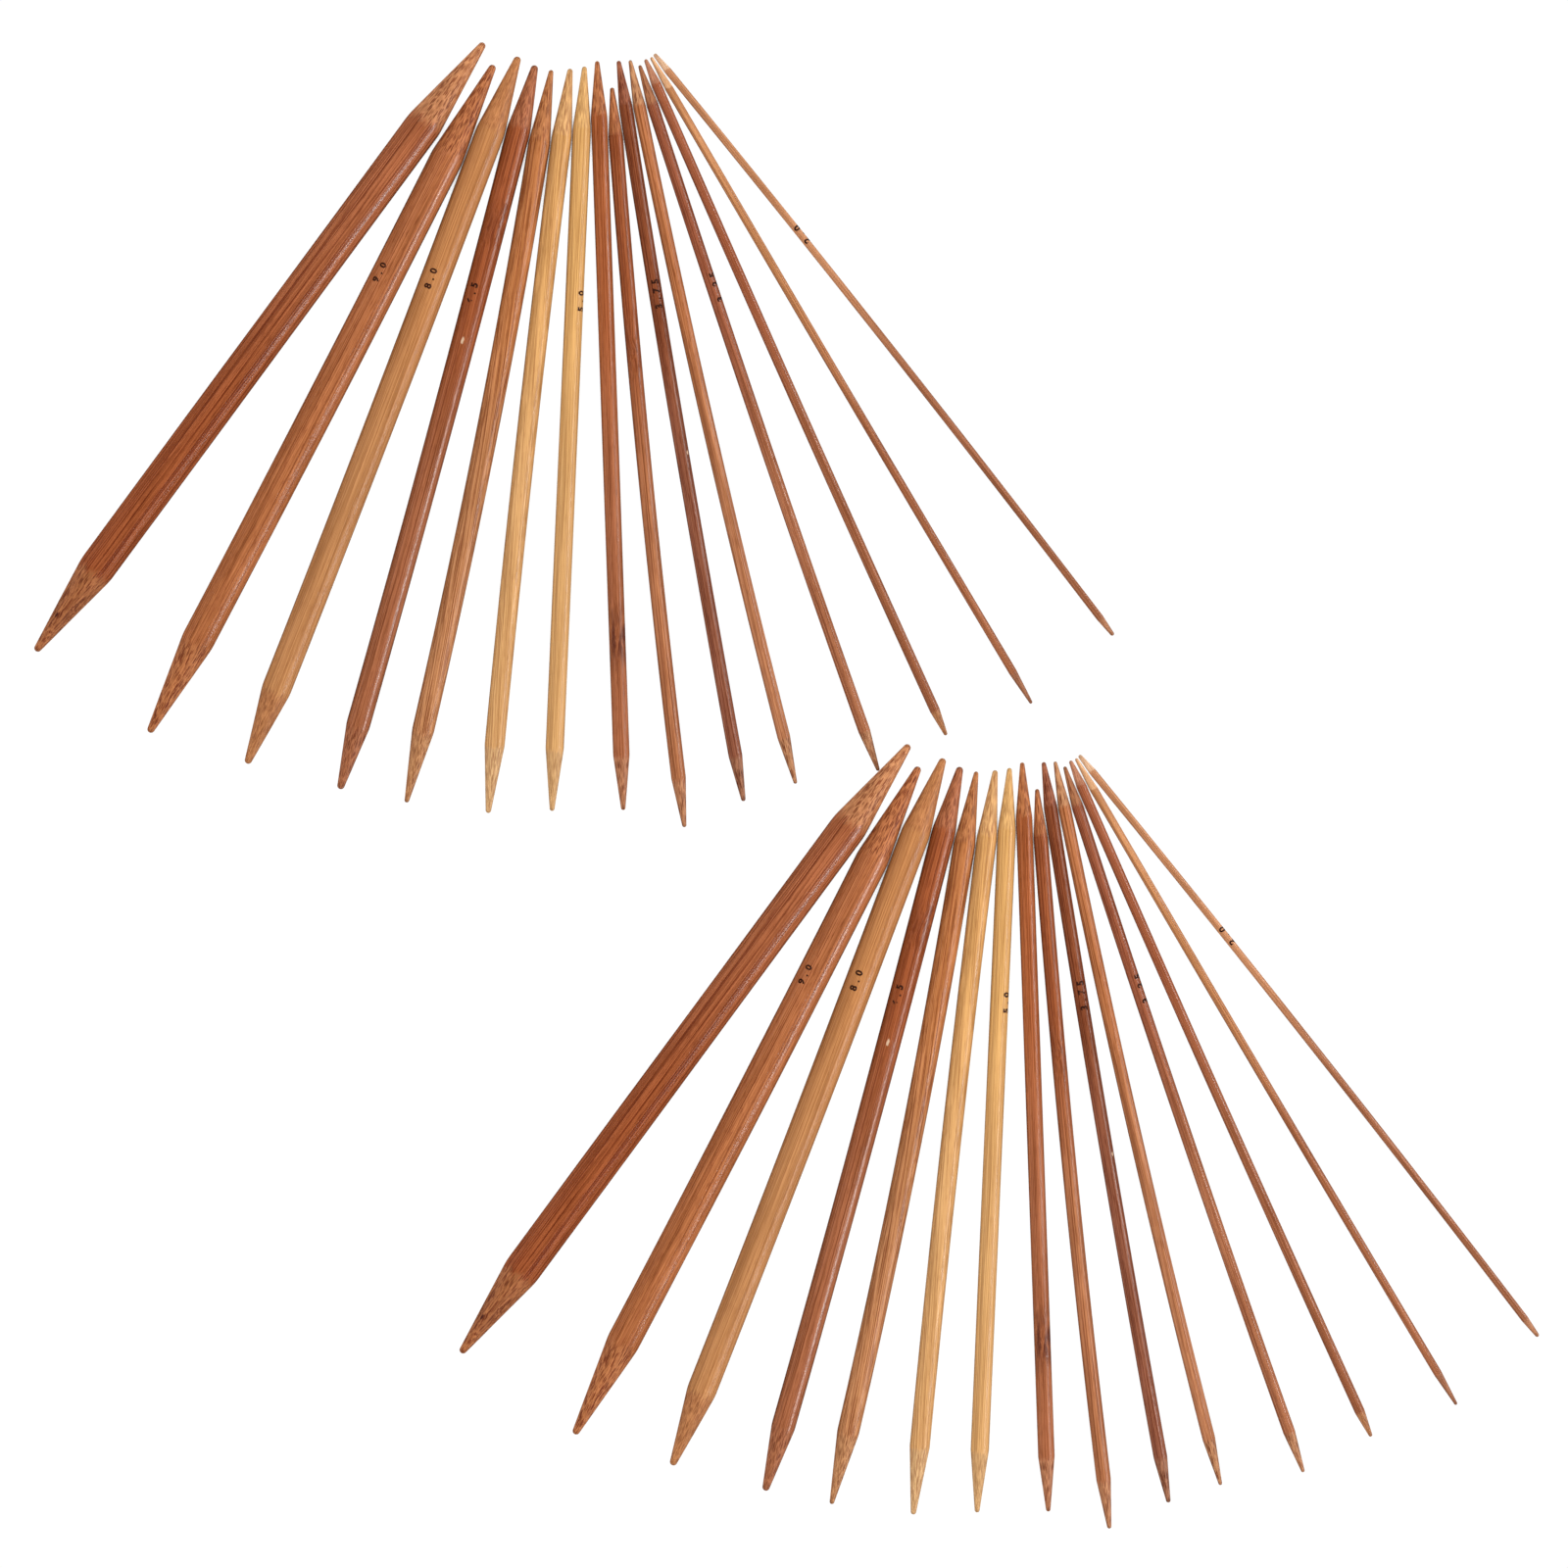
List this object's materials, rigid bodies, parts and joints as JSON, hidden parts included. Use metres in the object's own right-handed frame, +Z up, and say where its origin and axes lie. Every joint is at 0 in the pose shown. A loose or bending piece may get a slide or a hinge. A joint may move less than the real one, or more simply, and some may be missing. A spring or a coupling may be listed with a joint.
{
  "type": "double pointed knitting needles",
  "caption": "Bamboo knitting needles pointed at both ends, in graded thicknesses, lying side by side on a flat surface and spread like fans.",
  "frame": {"origin": "on the surface the needles rest on, under the middle of the whole layout's box", "axes": "+Z up from the surface, +X across the fans from the thickest needle to the thinnest, +Y towards the ends that lie close together"},
  "size_m": [0.41, 0.4048, 0.01],
  "materials": {
    "bamboo_10_0mm": "satin",
    "bamboo_9_0mm": "satin",
    "bamboo_8_0mm": "satin",
    "bamboo_6_5mm": "satin",
    "bamboo_6_0mm": "satin",
    "bamboo_5_5mm": "satin",
    "bamboo_5_0mm": "satin",
    "bamboo_4_5mm": "satin",
    "bamboo_4_0mm": "satin",
    "bamboo_3_75mm": "satin",
    "bamboo_3_5mm": "satin",
    "bamboo_3_25mm": "satin",
    "bamboo_2_75mm": "satin",
    "bamboo_2_25mm": "satin",
    "bamboo_2_0mm": "satin"
  },
  "bodies": {
    "upper_needle_10_0mm": {"upper_needle_10_0mm": "bamboo_10_0mm"},
    "upper_needle_9_0mm": {"upper_needle_9_0mm": "bamboo_9_0mm"},
    "upper_needle_8_0mm": {"upper_needle_8_0mm": "bamboo_8_0mm"},
    "upper_needle_6_5mm": {"upper_needle_6_5mm": "bamboo_6_5mm"},
    "upper_needle_6_0mm": {"upper_needle_6_0mm": "bamboo_6_0mm"},
    "upper_needle_5_5mm": {"upper_needle_5_5mm": "bamboo_5_5mm"},
    "upper_needle_5_0mm": {"upper_needle_5_0mm": "bamboo_5_0mm"},
    "upper_needle_4_5mm": {"upper_needle_4_5mm": "bamboo_4_5mm"},
    "upper_needle_4_0mm": {"upper_needle_4_0mm": "bamboo_4_0mm"},
    "upper_needle_3_75mm": {"upper_needle_3_75mm": "bamboo_3_75mm"},
    "upper_needle_3_5mm": {"upper_needle_3_5mm": "bamboo_3_5mm"},
    "upper_needle_3_25mm": {"upper_needle_3_25mm": "bamboo_3_25mm"},
    "upper_needle_2_75mm": {"upper_needle_2_75mm": "bamboo_2_75mm"},
    "upper_needle_2_25mm": {"upper_needle_2_25mm": "bamboo_2_25mm"},
    "upper_needle_2_0mm": {"upper_needle_2_0mm": "bamboo_2_0mm"},
    "lower_needle_10_0mm": {"lower_needle_10_0mm": "bamboo_10_0mm"},
    "lower_needle_9_0mm": {"lower_needle_9_0mm": "bamboo_9_0mm"},
    "lower_needle_8_0mm": {"lower_needle_8_0mm": "bamboo_8_0mm"},
    "lower_needle_6_5mm": {"lower_needle_6_5mm": "bamboo_6_5mm"},
    "lower_needle_6_0mm": {"lower_needle_6_0mm": "bamboo_6_0mm"},
    "lower_needle_5_5mm": {"lower_needle_5_5mm": "bamboo_5_5mm"},
    "lower_needle_5_0mm": {"lower_needle_5_0mm": "bamboo_5_0mm"},
    "lower_needle_4_5mm": {"lower_needle_4_5mm": "bamboo_4_5mm"},
    "lower_needle_4_0mm": {"lower_needle_4_0mm": "bamboo_4_0mm"},
    "lower_needle_3_75mm": {"lower_needle_3_75mm": "bamboo_3_75mm"},
    "lower_needle_3_5mm": {"lower_needle_3_5mm": "bamboo_3_5mm"},
    "lower_needle_3_25mm": {"lower_needle_3_25mm": "bamboo_3_25mm"},
    "lower_needle_2_75mm": {"lower_needle_2_75mm": "bamboo_2_75mm"},
    "lower_needle_2_25mm": {"lower_needle_2_25mm": "bamboo_2_25mm"},
    "lower_needle_2_0mm": {"lower_needle_2_0mm": "bamboo_2_0mm"}
  },
  "joints": [
    {"name": "lift_upper_needle_9_0mm", "type": "slide", "parent": "upper_needle_10_0mm", "child": "upper_needle_9_0mm", "axis": [0, 0, 1], "range_m": [0, 0.03]},
    {"name": "lift_upper_needle_8_0mm", "type": "slide", "parent": "upper_needle_10_0mm", "child": "upper_needle_8_0mm", "axis": [0, 0, 1], "range_m": [0, 0.03]},
    {"name": "lift_upper_needle_6_5mm", "type": "slide", "parent": "upper_needle_10_0mm", "child": "upper_needle_6_5mm", "axis": [0, 0, 1], "range_m": [0, 0.03]},
    {"name": "lift_upper_needle_6_0mm", "type": "slide", "parent": "upper_needle_10_0mm", "child": "upper_needle_6_0mm", "axis": [0, 0, 1], "range_m": [0, 0.03]},
    {"name": "lift_upper_needle_5_5mm", "type": "slide", "parent": "upper_needle_10_0mm", "child": "upper_needle_5_5mm", "axis": [0, 0, 1], "range_m": [0, 0.03]},
    {"name": "lift_upper_needle_5_0mm", "type": "slide", "parent": "upper_needle_10_0mm", "child": "upper_needle_5_0mm", "axis": [0, 0, 1], "range_m": [0, 0.03]},
    {"name": "lift_upper_needle_4_5mm", "type": "slide", "parent": "upper_needle_10_0mm", "child": "upper_needle_4_5mm", "axis": [0, 0, 1], "range_m": [0, 0.03]},
    {"name": "lift_upper_needle_4_0mm", "type": "slide", "parent": "upper_needle_10_0mm", "child": "upper_needle_4_0mm", "axis": [0, 0, 1], "range_m": [0, 0.03]},
    {"name": "lift_upper_needle_3_75mm", "type": "slide", "parent": "upper_needle_10_0mm", "child": "upper_needle_3_75mm", "axis": [0, 0, 1], "range_m": [0, 0.03]},
    {"name": "lift_upper_needle_3_5mm", "type": "slide", "parent": "upper_needle_10_0mm", "child": "upper_needle_3_5mm", "axis": [0, 0, 1], "range_m": [0, 0.03]},
    {"name": "lift_upper_needle_3_25mm", "type": "slide", "parent": "upper_needle_10_0mm", "child": "upper_needle_3_25mm", "axis": [0, 0, 1], "range_m": [0, 0.03]},
    {"name": "lift_upper_needle_2_75mm", "type": "slide", "parent": "upper_needle_10_0mm", "child": "upper_needle_2_75mm", "axis": [0, 0, 1], "range_m": [0, 0.03]},
    {"name": "lift_upper_needle_2_25mm", "type": "slide", "parent": "upper_needle_10_0mm", "child": "upper_needle_2_25mm", "axis": [0, 0, 1], "range_m": [0, 0.03]},
    {"name": "lift_upper_needle_2_0mm", "type": "slide", "parent": "upper_needle_10_0mm", "child": "upper_needle_2_0mm", "axis": [0, 0, 1], "range_m": [0, 0.03]},
    {"name": "lift_lower_needle_10_0mm", "type": "slide", "parent": "upper_needle_10_0mm", "child": "lower_needle_10_0mm", "axis": [0, 0, 1], "range_m": [0, 0.03]},
    {"name": "lift_lower_needle_9_0mm", "type": "slide", "parent": "upper_needle_10_0mm", "child": "lower_needle_9_0mm", "axis": [0, 0, 1], "range_m": [0, 0.03]},
    {"name": "lift_lower_needle_8_0mm", "type": "slide", "parent": "upper_needle_10_0mm", "child": "lower_needle_8_0mm", "axis": [0, 0, 1], "range_m": [0, 0.03]},
    {"name": "lift_lower_needle_6_5mm", "type": "slide", "parent": "upper_needle_10_0mm", "child": "lower_needle_6_5mm", "axis": [0, 0, 1], "range_m": [0, 0.03]},
    {"name": "lift_lower_needle_6_0mm", "type": "slide", "parent": "upper_needle_10_0mm", "child": "lower_needle_6_0mm", "axis": [0, 0, 1], "range_m": [0, 0.03]},
    {"name": "lift_lower_needle_5_5mm", "type": "slide", "parent": "upper_needle_10_0mm", "child": "lower_needle_5_5mm", "axis": [0, 0, 1], "range_m": [0, 0.03]},
    {"name": "lift_lower_needle_5_0mm", "type": "slide", "parent": "upper_needle_10_0mm", "child": "lower_needle_5_0mm", "axis": [0, 0, 1], "range_m": [0, 0.03]},
    {"name": "lift_lower_needle_4_5mm", "type": "slide", "parent": "upper_needle_10_0mm", "child": "lower_needle_4_5mm", "axis": [0, 0, 1], "range_m": [0, 0.03]},
    {"name": "lift_lower_needle_4_0mm", "type": "slide", "parent": "upper_needle_10_0mm", "child": "lower_needle_4_0mm", "axis": [0, 0, 1], "range_m": [0, 0.03]},
    {"name": "lift_lower_needle_3_75mm", "type": "slide", "parent": "upper_needle_10_0mm", "child": "lower_needle_3_75mm", "axis": [0, 0, 1], "range_m": [0, 0.03]},
    {"name": "lift_lower_needle_3_5mm", "type": "slide", "parent": "upper_needle_10_0mm", "child": "lower_needle_3_5mm", "axis": [0, 0, 1], "range_m": [0, 0.03]},
    {"name": "lift_lower_needle_3_25mm", "type": "slide", "parent": "upper_needle_10_0mm", "child": "lower_needle_3_25mm", "axis": [0, 0, 1], "range_m": [0, 0.03]},
    {"name": "lift_lower_needle_2_75mm", "type": "slide", "parent": "upper_needle_10_0mm", "child": "lower_needle_2_75mm", "axis": [0, 0, 1], "range_m": [0, 0.03]},
    {"name": "lift_lower_needle_2_25mm", "type": "slide", "parent": "upper_needle_10_0mm", "child": "lower_needle_2_25mm", "axis": [0, 0, 1], "range_m": [0, 0.03]},
    {"name": "lift_lower_needle_2_0mm", "type": "slide", "parent": "upper_needle_10_0mm", "child": "lower_needle_2_0mm", "axis": [0, 0, 1], "range_m": [0, 0.03]}
  ]
}
